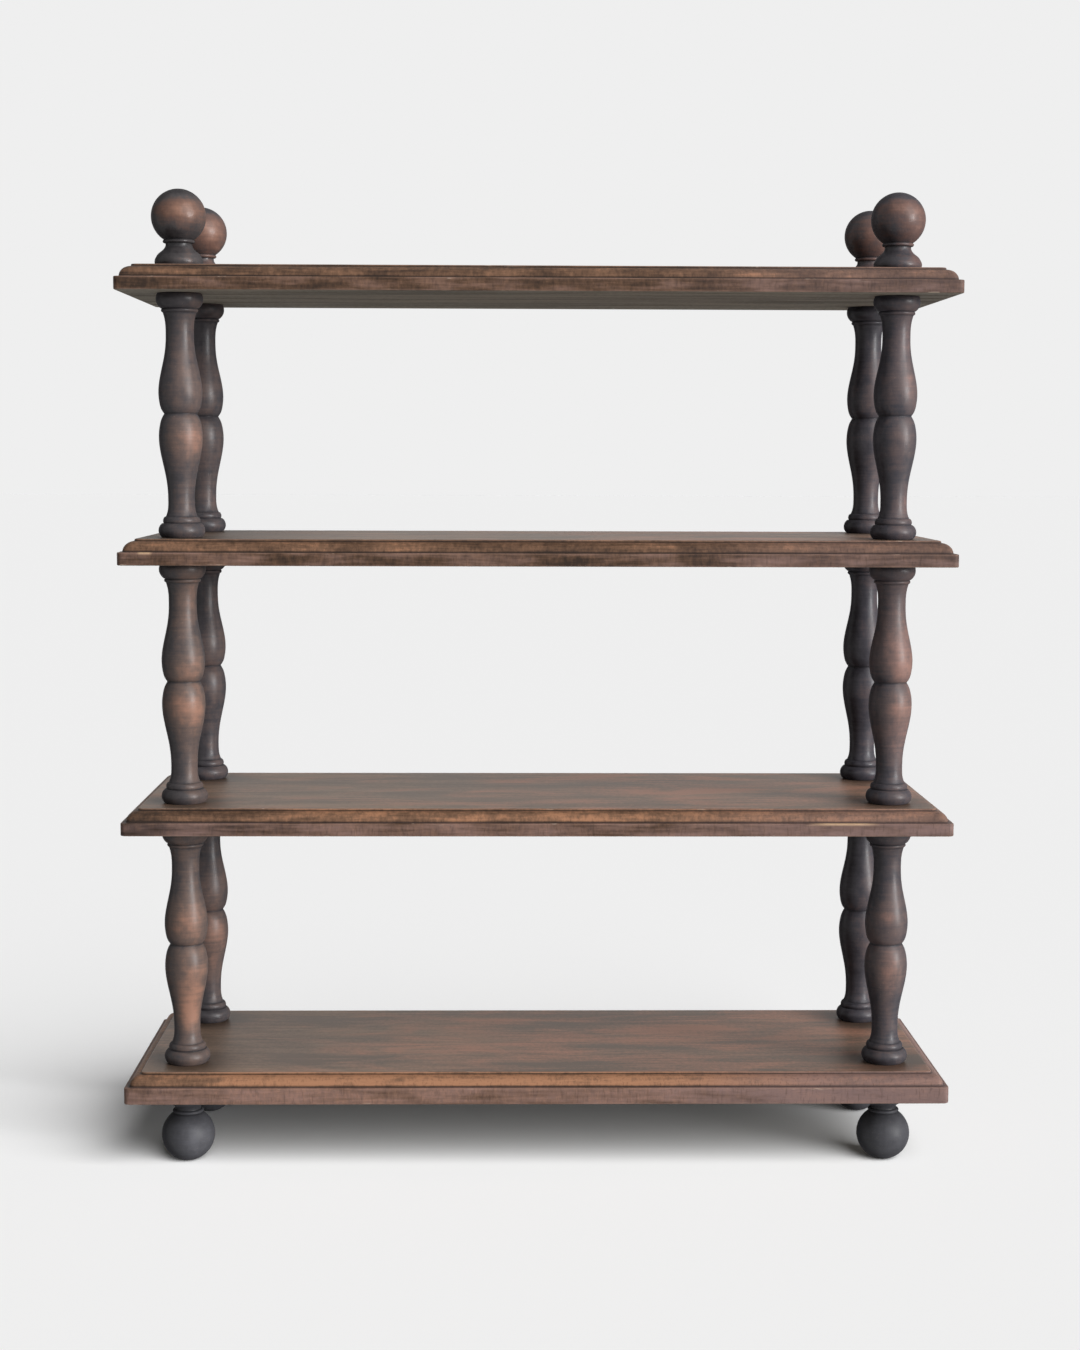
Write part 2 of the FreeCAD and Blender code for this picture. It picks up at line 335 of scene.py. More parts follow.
# Each lamp: its name, what it is, its strength, and its three angles in degrees
LAMPS = {
    "key": ("Key light", "large soft light", 1.85, 48, 26, 44),
    "side": ("Side light", "low light on the right", 2.6, 56, 4, 16),
    "sky": ("Sky", "wide light over the open side", 0.7, 35, 50, 110),
    "below": ("Floor light", "light on the floor alone", 5.74, 34, 30, 54),
}
LAMP_ANGLES = {
    "bearing": "Direction of the {}, from the front towards the right",
    "rise": "Height of the {} above the floor",
    "size": "Width of the {} as an angle",
}


class ShelfStage(bpy.types.PropertyGroup):
    __annotations__ = settings("share", {
        "backdrop": ("Brightness of the backdrop and of the lit floor", 0.863),
        "dim": ("What the dark side of the studio gives", 0.04),
        "floor": ("How light the floor looks where it is lit", 0.9),
        "floor_glow": ("How far the backdrop's tone lifts the shadows on the floor", 0.015),
        "floor_bounce": ("How much light the floor throws back at the shelf", 0.24),
    }) | lamp_settings()


# ---------------------------------------------------------------- outlines


def line(start, end):
    """Straight run: start + t (end - start), t from 0 to 1."""
    return np.linspace(start, end, LINE_POINTS)


def arc(start, middle, end):
    """Circle through three points: its centre is where the perpendicular bisectors meet, and the
    angle runs evenly from start over middle to end."""
    a, b, c = (complex(*p) for p in (start, middle, end))
    w = (c - a) / (b - a)
    centre = a + (b - a) * (w - abs(w) ** 2) / (w - w.conjugate())
    first = np.angle(a - centre)
    half = np.angle((b - centre) / (a - centre))
    whole = half + np.angle((c - centre) / (b - centre))
    ring = centre + abs(a - centre) * np.exp(1j * (first + np.linspace(0, whole, ARC_POINTS)))
    return np.column_stack((ring.real, ring.imag))


def curve(points):
    """Smooth curve through all points: cubics in chord length that agree in slope and bend where
    they meet, and that start and end along the parabola through the last three points."""
    p = np.array(points, float)
    t = np.concatenate(([0.0], np.cumsum(np.hypot(*np.diff(p, axis=0).T))))
    h = np.diff(t)
    slope = np.diff(p, axis=0) / h[:, None]
    first = slope[0] + (slope[0] - slope[1]) * h[0] / (h[0] + h[1])
    last = slope[-1] + (slope[-1] - slope[-2]) * h[-1] / (h[-1] + h[-2])
    n = len(t)
    inner = np.arange(1, n - 1)
    system = np.diag(np.concatenate(([2 * h[0]], 2 * (h[:-1] + h[1:]), [2 * h[-1]])))
    system[inner, inner - 1] = h[:-1]
    system[inner, inner + 1] = h[1:]
    system[0, 1] = h[0]
    system[-1, -2] = h[-1]
    jumps = np.vstack((slope[0] - first, np.diff(slope, axis=0), last - slope[-1]))
    bend = np.linalg.solve(system, 6 * jumps)
    s = np.linspace(0, t[-1], CURVE_POINTS)
    k = np.clip(np.searchsorted(t, s, side="right") - 1, 0, n - 2)
    a = ((t[k + 1] - s) / h[k])[:, None]
    b = 1 - a
    bow = (a ** 3 - a) * bend[k] + (b ** 3 - b) * bend[k + 1]
    return a * p[k] + b * p[k + 1] + bow * h[k, None] ** 2 / 6


def outline(start, steps):
    """Runs end to end: a step of one point is a straight run, of two an arc, of more a curve."""
    runs = []
    for step in steps:
        kind = {1: line, 2: arc}.get(len(step), lambda *points: curve(points))
        runs.append(kind(start, *step))
        start = step[-1]
    return np.vstack(runs)


def worked(path, worn, even, turn, closes):
    """Rows for a mesh from an outline. The outline is taken at small even steps, and its edges are
    worn by averaging it with a bell curve of the given width. Past its ends it is mirrored in the
    axis when it closes there, and runs straight on otherwise. The rows share out length / even +
    turning / turn evenly. Also gives, for each row, how strongly it turns outwards and inwards."""
    path = path[np.concatenate(([True], np.hypot(*np.diff(path, axis=0).T) > 1e-9))]
    t = np.concatenate(([0.0], np.cumsum(np.hypot(*np.diff(path, axis=0).T))))
    s = np.linspace(0, t[-1], int(t[-1] / STEP))
    fine = np.column_stack([np.interp(s, t, c) for c in path.T])
    reach = int(REACH / STEP)
    before, after = fine[reach:0:-1], fine[-2:-reach - 2:-1]
    if closes:
        before, after = before * (-1, 1), after * (-1, 1)
    else:
        before, after = 2 * fine[0] - before, 2 * fine[-1] - after
    padded = np.vstack((before, fine, after))
    window = np.arange(-reach, reach + 1) * STEP

    def averaged(values, width):
        bell = np.exp(-0.5 * (window / width) ** 2)
        return np.convolve(values, bell / bell.sum(), "valid")

    soft = np.column_stack([averaged(c, worn) for c in padded.T])
    heading = np.unwrap(np.arctan2(*np.diff(soft, axis=0).T[::-1]))
    turning = np.append(np.diff(heading, prepend=heading[0]), 0.0)
    bend = averaged(np.pad(turning, reach, mode="reflect"), BEND_WIDTH) / STEP
    load = np.hypot(*np.diff(soft, axis=0, prepend=soft[:1]).T) / even + np.abs(turning) / turn
    run = np.cumsum(load)
    shares = np.linspace(run[0], run[-1], int(math.ceil(run[-1])) + 1)
    chosen = np.interp(shares, run, np.arange(len(run)))
    at = np.arange(len(soft))
    points = np.column_stack([np.interp(chosen, at, c) for c in soft.T])
    bend = np.interp(chosen, at, bend)
    crest = np.clip((bend - CREST_FROM) / CREST_SPAN, 0, 1)
    hollow = np.clip((-bend - HOLLOW_FROM) / HOLLOW_SPAN, 0, 1)
    return points, crest, hollow


# ---------------------------------------------------------------- meshes


def skin(name, points, faces, traits, finish):
    """Mesh object from a table of points, a list of face tables and the values kept at each
    point."""
    mesh = bpy.data.meshes.new(name)
    mesh.vertices.add(len(points))
    mesh.vertices.foreach_set("co", np.ascontiguousarray(points, np.float32).ravel())
    corners = np.concatenate([f.ravel() for f in faces]).astype(np.int32)
    sides = np.concatenate([np.full(len(f), f.shape[1]) for f in faces])
    mesh.loops.add(len(corners))
    mesh.loops.foreach_set("vertex_index", corners)
    mesh.polygons.add(len(sides))
    starts = np.concatenate(([0], np.cumsum(sides)[:-1])).astype(np.int32)
    mesh.polygons.foreach_set("loop_start", starts)
    mesh.polygons.foreach_set("use_smooth", np.ones(len(sides), bool))
    mesh.update(calc_edges=True)
    if mesh.validate():
        raise RuntimeError(f"the mesh of {name} has faults")
    mesh.set_sharp_from_angle(angle=SHARP)
    for trait, values in traits.items():
        kind, field = ("FLOAT_VECTOR", "vector") if values.ndim == 2 else ("FLOAT", "value")
        kept = mesh.attributes.new(trait, kind, "POINT")
        kept.data.foreach_set(field, np.ascontiguousarray(values, np.float32).ravel())
    mesh.materials.append(finish)
    piece = bpy.data.objects.new(name, mesh)
    bpy.context.scene.collection.objects.link(piece)
    return piece


def grid(rows, columns):
    """Faces between rows of points, each row a closed ring of as many columns."""
    i, j = np.meshgrid(np.arange(rows - 1) * columns, np.arange(columns), indexing="ij")
    k = (j + 1) % columns
    return np.stack((i + j, i + k, i + columns + k, i + columns + j), axis=-1).reshape(-1, 4)


def revolved(name, rows, centre, seed, lathe, stain, finish):
    """Turning: row (r, z) at bearing b is the point centre + (r cos b, r sin b, z), with r changed
    by a slow ripple of b and z. Both ends of the outline lie on the axis and close in a pole."""
    points, crest, hollow = rows
    low, high = points[:, 1].min(), points[:, 1].max()
    dice = np.random.default_rng(seed)
    columns = lathe.segments
    b = np.arange(columns) * (2 * math.pi / columns)
    r, z = points[1:-1, 0][:, None], points[1:-1, 1][:, None]
    phases = dice.uniform(0, 2 * math.pi, 3)
    ripple = sum(size * np.sin(swells * b + phase + climb * z)
                 for (swells, climb, size), phase in zip(RIPPLES, phases))
    r = r - lathe.out_of_round * np.clip(r / RIPPLE_RADIUS, 0, 1) ** 2 * (1 + ripple / 3)
    x, y = r * np.cos(b), r * np.sin(b)
    local = np.stack((x, y, np.broadcast_to(z, x.shape)), axis=-1).reshape(-1, 3)
    local = np.vstack((local, [[0, 0, points[0, 1]], [0, 0, points[-1, 1]]]))

    share_z = (local[:, 2] - low) / (high - low)
    bearing = np.degrees(np.arctan2(local[:, 0], -local[:, 1]))
    tone, cool, wear_and_light_patches = stain
    # Painted light and shade: the stain turns lighter towards the lamps' bearing and darker on the
    # far side
    lit_side = (0.5 + 0.5 * np.cos(np.radians(bearing - PAINTED_LIGHT_BEARING))) ** 2
    rub = tone + PAINTED_SHADE_BEHIND + PAINTED_LIGHT_GAIN * lit_side
    # Patches of wear and stain, with painted light towards the lit right front and painted shade on
    # the left side
    for place, facing, tall, wide, strength in wear_and_light_patches:
        off = (bearing - facing + 180) % 360 - 180
        rub += strength * np.exp(-((share_z - place) / tall) ** 2 - (off / wide) ** 2)
    spin = dice.uniform(0, 2 * math.pi)
    cos, sin = math.cos(spin), math.sin(spin)
    grain = local @ np.array(((cos, -sin, 0), (sin, cos, 0), (0, 0, 1))).T
    radius = np.hypot(local[:, 0], local[:, 1])
    crest, hollow = (np.append(np.repeat(v[1:-1], columns), v[[0, -1]]) for v in (crest, hollow))
    traits = {
        "grain": grain + tuple(shift * seed for shift in GRAIN_SHIFT),
        "crest": crest, "hollow": hollow, "rub": rub,
        "swell": np.clip((radius - SWELL_FROM) / SWELL_SPAN, 0, 1),
        "cool": np.full(len(local), cool),
    }

    rows_in = len(points) - 2
    ring = np.arange(columns)
    after = (ring + 1) % columns
    start, end = rows_in * columns, rows_in * columns + 1
    last = (rows_in - 1) * columns
    fans = np.vstack((
        np.column_stack((np.full(columns, start), after, ring)),
        np.column_stack((last + ring, last + after, np.full(columns, end))),
    ))
    return skin(name, local + centre, [grid(rows_in, columns), fans], traits, finish)


def board_ring(half_width, half_depth, radius, pitch):
    """Rectangle seen from above, anticlockwise from the middle of its right end, with its corners
    rounded to the radius: the sides in steps of about the pitch, each corner in five points."""
    across = np.linspace(-half_width + radius, half_width - radius, int(2 * half_width / pitch))
    along = np.linspace(-half_depth + radius, half_depth - radius, int(2 * half_depth / pitch))
    quarter = np.linspace(0, math.pi / 2, QUARTER_STEPS + 1)[1:-1]
    cos, sin = radius * np.cos(quarter), radius * np.sin(quarter)
    cx, cy = half_width - radius, half_depth - radius
    parts = (
        (np.full_like(along, half_width), along), (cx + cos, cy + sin),
        (across[::-1], np.full_like(across, half_depth)), (-cx - sin, cy + cos),
        (np.full_like(along, -half_width), along[::-1]), (-cx - cos, -cy - sin),
        (across, np.full_like(across, -half_depth)), (cx + sin, -cy - cos),
    )
    return np.vstack([np.column_stack(part) for part in parts])


def cap(ring, holes, up):
    """Triangles that fill a flat ring less its holes, all facing up or all facing down."""
    loops = [[Vector((x, y, 0)) for x, y in loop] for loop in [ring] + holes]
    triangles = np.array(tessellate_polygon(loops))
    flat = np.vstack([ring] + holes)
    a, b, c = (flat[triangles[:, k]] for k in range(3))
    area = (b[:, 0] - a[:, 0]) * (c[:, 1] - a[:, 1]) - (b[:, 1] - a[:, 1]) * (c[:, 0] - a[:, 0])
    triangles = triangles[np.abs(area) > 1e-12]
    area = area[np.abs(area) > 1e-12]
    wrong = (area > 0) != up
    triangles[wrong] = triangles[wrong][:, ::-1]
    return triangles


# ---------------------------------------------------------------- shaders


class Wire:
    """One value in a material. Arithmetic on it adds Math nodes."""

    def __init__(self, finish, socket):
        self.finish = finish
        self.socket = socket

    def maths(self, operation, *terms, clamp=False):
        settings = {"operation": operation, "use_clamp": clamp}
        return self.finish.node("ShaderNodeMath", settings, dict(enumerate(terms)))

    def __add__(self, other):
        return self.maths("ADD", self, other)

    def __radd__(self, other):
        return self.maths("ADD", other, self)

    def __sub__(self, other):
        return self.maths("SUBTRACT", self, other)

    def __rsub__(self, other):
        return self.maths("SUBTRACT", other, self)

    def __mul__(self, other):
        return self.maths("MULTIPLY", self, other)

    def __rmul__(self, other):
        return self.maths("MULTIPLY", other, self)

    def __truediv__(self, other):
        return self.maths("DIVIDE", self, other)

    def __pow__(self, other):
        return self.maths("POWER", self, other)

    def __abs__(self):
        return self.maths("ABSOLUTE", self)

    def clip(self):
        return self.maths("ADD", self, 0.0, clamp=True)

    def between(self, low, high):
        """0 below low, 1 above high, and a smooth rise from one to the other."""
        sockets = {"Value": self, "From Min": low, "From Max": high}
        return self.finish.node("ShaderNodeMapRange", {"interpolation_type": "SMOOTHSTEP"}, sockets)


class Nodes:
    """A node tree of a material or of the world, and the few ways in which its nodes are made."""

    def __init__(self, owner):
        owner.use_nodes = True
        self.owner = owner
        self.tree = owner.node_tree
        self.tree.nodes.clear()

    def node(self, kind, settings, sockets, output=0):
        """A node of that kind: its settings first, then the values or links of its sockets."""
        node = self.tree.nodes.new(kind)
        for name, value in settings.items():
            if name == "stops":
                ramp = node.color_ramp.elements
                while len(ramp) < len(value):
                    ramp.new(0.5)
                for stop, (place, shade) in zip(ramp, value):
                    stop.position, stop.color = place, (*shade, 1.0)
            else:
                setattr(node, name, value)
        for name, value in sockets.items():
            found = node.inputs[name] if isinstance(name, int) else next(
                (s for s in node.inputs if s.identifier == name), None) or node.inputs[name]
            if isinstance(value, Wire):
                self.tree.links.new(value.socket, found)
            elif found.type == "RGBA" and len(value) == 3:
                found.default_value = (*value, 1.0)
            else:
                found.default_value = value
        return Wire(self, node.outputs[output]) if node.outputs else None

    def mixed(self, factor, a, b):
        """Shader a, and b where the factor is 1."""
        return self.node("ShaderNodeMixShader", {}, {0: factor, 1: a, 2: b})

    def trait(self, name, vector=False):
        """A value kept at the points of the mesh."""
        output = "Vector" if vector else "Fac"
        return self.node("ShaderNodeAttribute", {"attribute_name": name}, {}, output)

    def place(self):
        return self.node("ShaderNodeTexCoord", {}, {}, "Object")

    def scaled(self, vector, factors, shift=(0, 0, 0)):
        """The vector times the factors, plus the shift."""
        sockets = {0: vector, 1: factors, 2: shift}
        return self.node("ShaderNodeVectorMath", {"operation": "MULTIPLY_ADD"}, sockets)

    def axis(self, vector, letter):
        return self.node("ShaderNodeSeparateXYZ", {}, {"Vector": vector}, letter)

    def joined(self, x, y, z):
        return self.node("ShaderNodeCombineXYZ", {}, {"X": x, "Y": y, "Z": z})

    def noise(self, vector, swells, detail=2.0, roughness=0.5, distortion=0.0):
        """Cloudy values from about 0.2 to 0.8, with so many swells to a metre along X, Y and Z."""
        sockets = {"Vector": self.scaled(vector, swells), "Scale": 1.0, "Detail": detail,
                   "Roughness": roughness, "Distortion": distortion}
        return self.node("ShaderNodeTexNoise", {}, sockets)

    def mix(self, factor, a, b, blend="MIX"):
        """Colour a, and b where the factor is 1."""
        settings = {"data_type": "RGBA", "blend_type": blend, "clamp_factor": True}
        sockets = {"Factor_Float": factor, "A_Color": a, "B_Color": b}
        return self.node("ShaderNodeMix", settings, sockets, 2)

    def bump(self, height, distance, strength):
        """Relief: the height in units of the distance."""
        sockets = {"Height": height, "Distance": distance, "Strength": strength}
        return self.node("ShaderNodeBump", {}, sockets)

    def ramp(self, value, stops):
        """Colour along a row of stops, by the value from 0 to 1."""
        return self.node("ShaderNodeValToRGB", {"stops": stops}, {"Fac": value})

    def plainly_seen(self):
        """1 for what the camera sees, itself, in a gloss or through glass, and 0 for light on the
        shelf."""
        seen, gloss, through = (self.node("ShaderNodeLightPath", {}, {}, f"Is {way} Ray")
                                for way in ("Camera", "Glossy", "Transmission"))
        either = seen.maths("MAXIMUM", seen, gloss)
        return either.maths("MAXIMUM", either, through)

    def slant(self):
        """0 where a surface faces the eye, up to 1 along its rim."""
        return self.node("ShaderNodeLayerWeight", {}, {"Blend": 0.5}, "Facing")

    def surface(self, sockets):
        """The shader itself, joined to the output."""
        shader = self.node("ShaderNodeBsdfPrincipled", {}, sockets)
        self.node("ShaderNodeOutputMaterial", {"is_active_output": True}, {"Surface": shader})
        return self.owner


def weighed(value, *noises):
    """The value plus each noise, counted from its middle, times its weight."""
    for noise, weight in noises:
        value = value + (noise - 0.5) * weight
    return value


def darker(shade, factor):
    """The shade times the factor."""
    return tuple(factor * c for c in shade)


def board_finish(name, colours, seed, tone, posts, ledge):
    """Dark walnut stain under satin lacquer on a board whose grain runs along X. On the faces,
    clouds, broad figure, slanting sweeps, streaks, dashes, mottling and fine fibre pick a shade
    between dark and light stain. It is redder towards the right end and darker towards the left
    one, as the tone says, and a painted shadow darkens the faces round the posts. On the edges the
    same grain, closer set, picks a shade from thick stain over brown to bare wood: lighter where
    the edge is rubbed and on sharp corners, and dark with painted shade in the inner ones. The
    square band fades to mauve in patches, has short upright flecks, and its corners are chipped
    pale. Long pale splinters are torn from the ledge of the front. The underside is thinly stained,
    painted lighter to stand in for the light that the floor throws up, and dull."""
    f = Nodes(bpy.data.materials.new(name))
    here = f.place()
    place = f.scaled(here, (1, 1, 1), (0.7 * seed, 1.3 * seed, 0.9 * seed))
    x = f.axis(here, "X")
    edge, ovolo, under = f.trait("edge"), f.trait("ovolo"), f.trait("under")
    crest, hollow, rub = f.trait("crest"), f.trait("hollow"), f.trait("rub")
    slow = {"Vector": place, "Scale": 4.0, "Detail": 1.0}
    drift = f.node("ShaderNodeTexNoise", {}, slow, "Color")
    sway = f.scaled(drift, (0, 0.030, 0.012), (0, -0.015, -0.006))
    bent = f.node("ShaderNodeVectorMath", {"operation": "ADD"}, {0: place, 1: sway})
    cloud = f.noise(place, (6, 16, 40), 2.0)
    figure = f.noise(bent, (2.4, 34, 34), 3.0, 0.55)
    streak = f.noise(bent, (7, 160, 160), 3.0, 0.6)
    fibre = f.noise(bent, (34, 760, 760), 2.0, 0.6)
    dash = f.noise(bent, (15, 260, 260), 2.0, 0.5)
    blotch = f.noise(place, (18, 18, 70), 3.0, 0.55)
    fleck = f.noise(place, (430, 430, 70), 2.0, 0.6)
    mottle = f.noise(place, (190, 150, 95), 3.0, 0.7)
    sweep = f.noise(place, (5, 15, 24), 2.0, 0.5, 2.2)
    pore = f.noise(bent, (60, 1500, 1500), 1.0, 0.5).between(0.60, 0.70)

    face = weighed(0.5, (cloud, 2.2), (figure, 1.5), (sweep, 1.5), (streak, 1.3), (dash, 0.9),
                   (mottle, 1.5), (fibre, 0.5)).clip()
    red = x.between(tone["red_from"], tone["red_to"]) * tone["red"]
    red = weighed(red, (cloud, 0.8), (sweep, 3.0)).clip()
    light = f.mix(red, colours.face_light, colours.face_red)
    shade = f.mix(face, colours.face_dark, light)
    dusk = (0 - x).between(0.16, 0.40) * tone["dusk"]
    shade = f.mix(dusk, shade, darker(colours.face_dark, 0.6))
    # Painted shadow on the faces round the posts, where they stand on the board
    beside = f.joined(abs(x) - posts[0], abs(f.axis(here, "Y")) - posts[1], 0.0)
    away = f.node("ShaderNodeVectorMath", {"operation": "LENGTH"}, {0: beside}, "Value")
    post_shadow = (1 - away.between(0.024, 0.085)) ** 1.5
    post_shadow = (post_shadow * (0.55 + cloud * 0.5)).clip()
    shade = f.mix(post_shadow, shade, darker(colours.face_dark, 0.40))

    lift = tone["band"] + (tone["round"] - tone["band"]) * ovolo
    wear = weighed(lift + rub * 0.34, (blotch, 1.15), (dash, 0.70), (mottle, 0.95), (fibre, 0.24))
    # Painted shade darkens the inner corners (hollow); the crests are lighter from wear
    wear = (wear + crest * 0.10 - hollow * 0.45).clip()
    rim = f.ramp(wear, [(0.0, colours.edge_dark), (0.34, colours.edge_stain),
                        (0.66, colours.edge_thin), (1.0, colours.edge_rubbed)])
    flat_band = (1 - ovolo) * edge
    faded = ((blotch - 0.42) * 1.6 + (dash - 0.5) * 0.8 + tone["mauve"]).clip() * flat_band
    faded = (faded + x.between(0.10, 0.36) * tone["end"] * (0.5 + blotch)).clip() * edge
    rim = f.mix(faded * 0.75, rim, colours.edge_mauve)
    rim = f.mix((fleck.between(0.54, 0.70) * 0.30 * edge).clip(), rim, colours.edge_dark)
    # Painted shade in the inner corners of the edge
    rim = f.mix((hollow * (0.25 + 0.7 * blotch)).clip(), rim, CORNER_SHADE)
    shade = f.mix(edge, shade, rim)
    shade = f.mix(crest * dash.between(0.30, 0.62) * 0.40, shade, CREST_STAIN)
    chip = f.noise(place, (30, 95, 240), 3.0, 0.7).between(0.63, 0.68) * crest
    shade = f.mix(chip, shade, CHIPPED)
    in_front = (0 - f.axis(here, "Y")).between(-ledge[0], 0.003 - ledge[0])
    on_ledge = (1 - abs(f.axis(here, "Z") - ledge[1]) / 0.0028).clip()
    for middle, half in tone["splinters"]:
        torn = ((1 - abs(x - middle) / half) * 2.0 + (dash - 0.5) * 1.6).clip()
        shade = f.mix(torn * on_ledge * in_front, shade, TORN)
    shade = f.mix(pore * 0.20, shade, PORE_STAIN)
    wiped = weighed(0.5, (streak, 3.2), (figure, 4.0), (mottle, 1.8)).clip()
    # The underside: thin stain, painted lighter to stand in for the light that the floor throws up
    shade = f.mix(under, shade, f.mix(wiped, darker(colours.under, 0.5), colours.under))
    rough = 0.46 + face * 0.05 + fibre * 0.10 + edge * 0.04
    dull = {"Factor_Float": under, "A_Float": rough, "B_Float": 0.92}
    relief = f.bump(fibre * 0.4 - pore * 0.5 + fleck * flat_band * 0.3, 0.0002, 0.6)
    return f.surface({
        "Base Color": shade, "Roughness": f.node("ShaderNodeMix", {"data_type": "FLOAT"}, dull),
        "Normal": relief, "Specular IOR Level": 0.15,
        "Coat Weight": (1 - edge) * (1 - under) * (1 - dusk) * 0.17, "Coat Roughness": 0.34,
    })


def turned_finish(name, shades, rough, peel):
    """Dark stain under satin lacquer on a turning whose grain runs upright. A ramp runs from thick
    nearly black stain over charcoal and mauve brown to reddish wood. The rub value says how thin
    the stain is, with painted light and shade in it; slow clouds, soft mottling and long level
    streaks from the cloth move it, it is lighter on the swells, and painted shade darkens it in the
    grooves. Fine rings from the tool run round the piece, and thin places carry pale specks, partly
    marks and partly painted glints of the lacquer, and short scratches."""
    f = Nodes(bpy.data.materials.new(name))
    grain = f.trait("grain", vector=True)
    crest, hollow, rub = f.trait("crest"), f.trait("hollow"), f.trait("rub")
    swell, cool = f.trait("swell"), f.trait("cool")
    cloud = f.noise(grain, (26, 26, 20), 3.0, 0.55)
    mottle = f.noise(grain, (95, 95, 110), 3.0, 0.6)
    wiped = f.noise(grain, (16, 16, 330), 3.0, 0.6)
    streak = f.noise(grain, (380, 380, 30), 2.0, 0.6)
    fibre = f.noise(grain, (1300, 1300, 80), 2.0, 0.6)
    rings = f.noise(grain, (40, 40, 1500), 2.0, 0.55)
    speck_and_glint = f.noise(grain, (520, 520, 700), 2.0, 0.6).between(0.64, 0.74)
    thin = weighed(rub + swell * 0.08, (cloud, 0.85), (mottle, 0.44), (wiped, 0.32),
                   (streak, 0.12), (fibre, 0.08))
    # Painted shade: darker in the grooves, lighter on the crests from wear
    thin = (thin + crest * 0.05 - hollow * 0.16).clip()
    shade = f.ramp(thin, list(zip((0.0, 0.33, 0.66, 1.0), shades)))
    shade = f.mix(cool * (0.5 + cloud), shade, MAUVE_TINT, blend="MULTIPLY")
    # Pale specks where the stain is thin: partly marks, partly painted glints of the lacquer
    shade = f.mix(speck_and_glint * thin * 0.30, shade, SPECK_AND_GLINT)
    # More painted shade in the grooves
    shade = f.mix(hollow * 0.40, shade, darker(shades[0], 0.6))
    gloss = (rough - 0.05 + fibre * 0.08 + (wiped - 0.5) * 0.16 + thin * 0.06
             + f.slant().between(0.18, 0.60) * 0.50)
    relief = f.bump(fibre * 0.35 + rings * 0.6 + wiped * 0.5 + mottle * peel, 0.00016, 0.6)
    return f.surface(
        {"Base Color": shade, "Roughness": gloss, "Normal": relief, "Specular IOR Level": 0.24})


def steel_finish(name, zinc):
    """Zinc plate: a cool grey metal with a fine spangle and faint turning lines."""
    f = Nodes(bpy.data.materials.new(name))
    here = f.place()
    spangle = f.noise(here, (900, 900, 900), 2.0)
    lines = f.noise(here, (90, 90, 3000), 1.0)
    shade = f.mix(spangle.between(0.3, 0.7), darker(zinc, 0.78), zinc)
    relief = f.bump(lines, 0.00005, 0.5)
    return f.surface(
        {"Base Color": shade, "Metallic": 1.0, "Roughness": 0.28 + spangle * 0.2, "Normal": relief})


# ---------------------------------------------------------------- operators


def settle(piece, nodes):
    """The piece rides on the shelf and stands for its CAD nodes, which are hidden."""
    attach(piece, "root")
    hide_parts(*nodes)


def corner_place(corner, height):
    """Point on the axis of the posts at that corner."""
    low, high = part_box(f"spindle_low_{corner}")
    return np.array(((low.x + high.x) / 2, (low.y + high.y) / 2, height))


def bored(steps, high, lathe, both):
    """The outline of a turning from the axis, out of the lower bore, round the outside and back."""
    r, deep = lathe.bore / 2, lathe.bore_depth
    end = [[(r, high)], [(r, high - deep)], [(0.0, high - deep)]] if both else []
    return outline((0.0, deep), [[(r, deep)], [(r, 0.0)]] + steps + end)


def toward(start, end, shares):
    """Points on the way from start to end: a share of the way up and a share of the way out."""
    (r, z), (end_r, end_z) = start, end
    return [(r + out * (end_r - r), z + along * (end_z - z)) for along, out in shares]


def ball_steps(s, height):
    """Outline of a ball turning beyond its bore, from its seat to the far side of its ball."""
    ball = s.ball / 2
    middle = height - ball
    ball_foot = middle - math.sqrt(ball ** 2 - (s.groove / 2) ** 2)
    ring_low = ball_foot - s.ring_height
    base, neck = (s.seat / 2, s.base_height), (s.neck / 2, ring_low - s.neck_length)
    return [
        [(s.seat / 2, 0.0)],
        [(s.base / 2, s.base_height / 2), base],
        toward(neck, base, BASE_FLARE)[::-1] + [neck],
        [(s.neck / 2, ring_low)],
        [(s.groove / 2, ring_low)],
        [(s.ring / 2, (ring_low + ball_foot) / 2), (s.groove / 2, ball_foot)],
        [(ball, middle), (0.0, height)],
    ]


def turned(context, path, pieces, finish):
    """Like turnings from one outline. Each piece has a name, the CAD node that it replaces, the
    corner where it stands, a seed and its stain."""
    lathe = context.scene.shelf_lathe
    rows = worked(path, lathe.worn, lathe.even, TURNING_TURN, True)
    for name, node, corner, seed, stain in pieces:
        centre = corner_place(corner, max(0.0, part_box(node)[0].z))
        settle(revolved(name, rows, centre, seed, lathe, stain, finish), [node])


def at_corners(part, node, seed, stains):
    """One turning of a kind for every corner."""
    return [(f"{part}_{corner}", f"{node}_{corner}", corner, seed + number, stain)
            for number, (corner, stain) in enumerate(stains.items())]


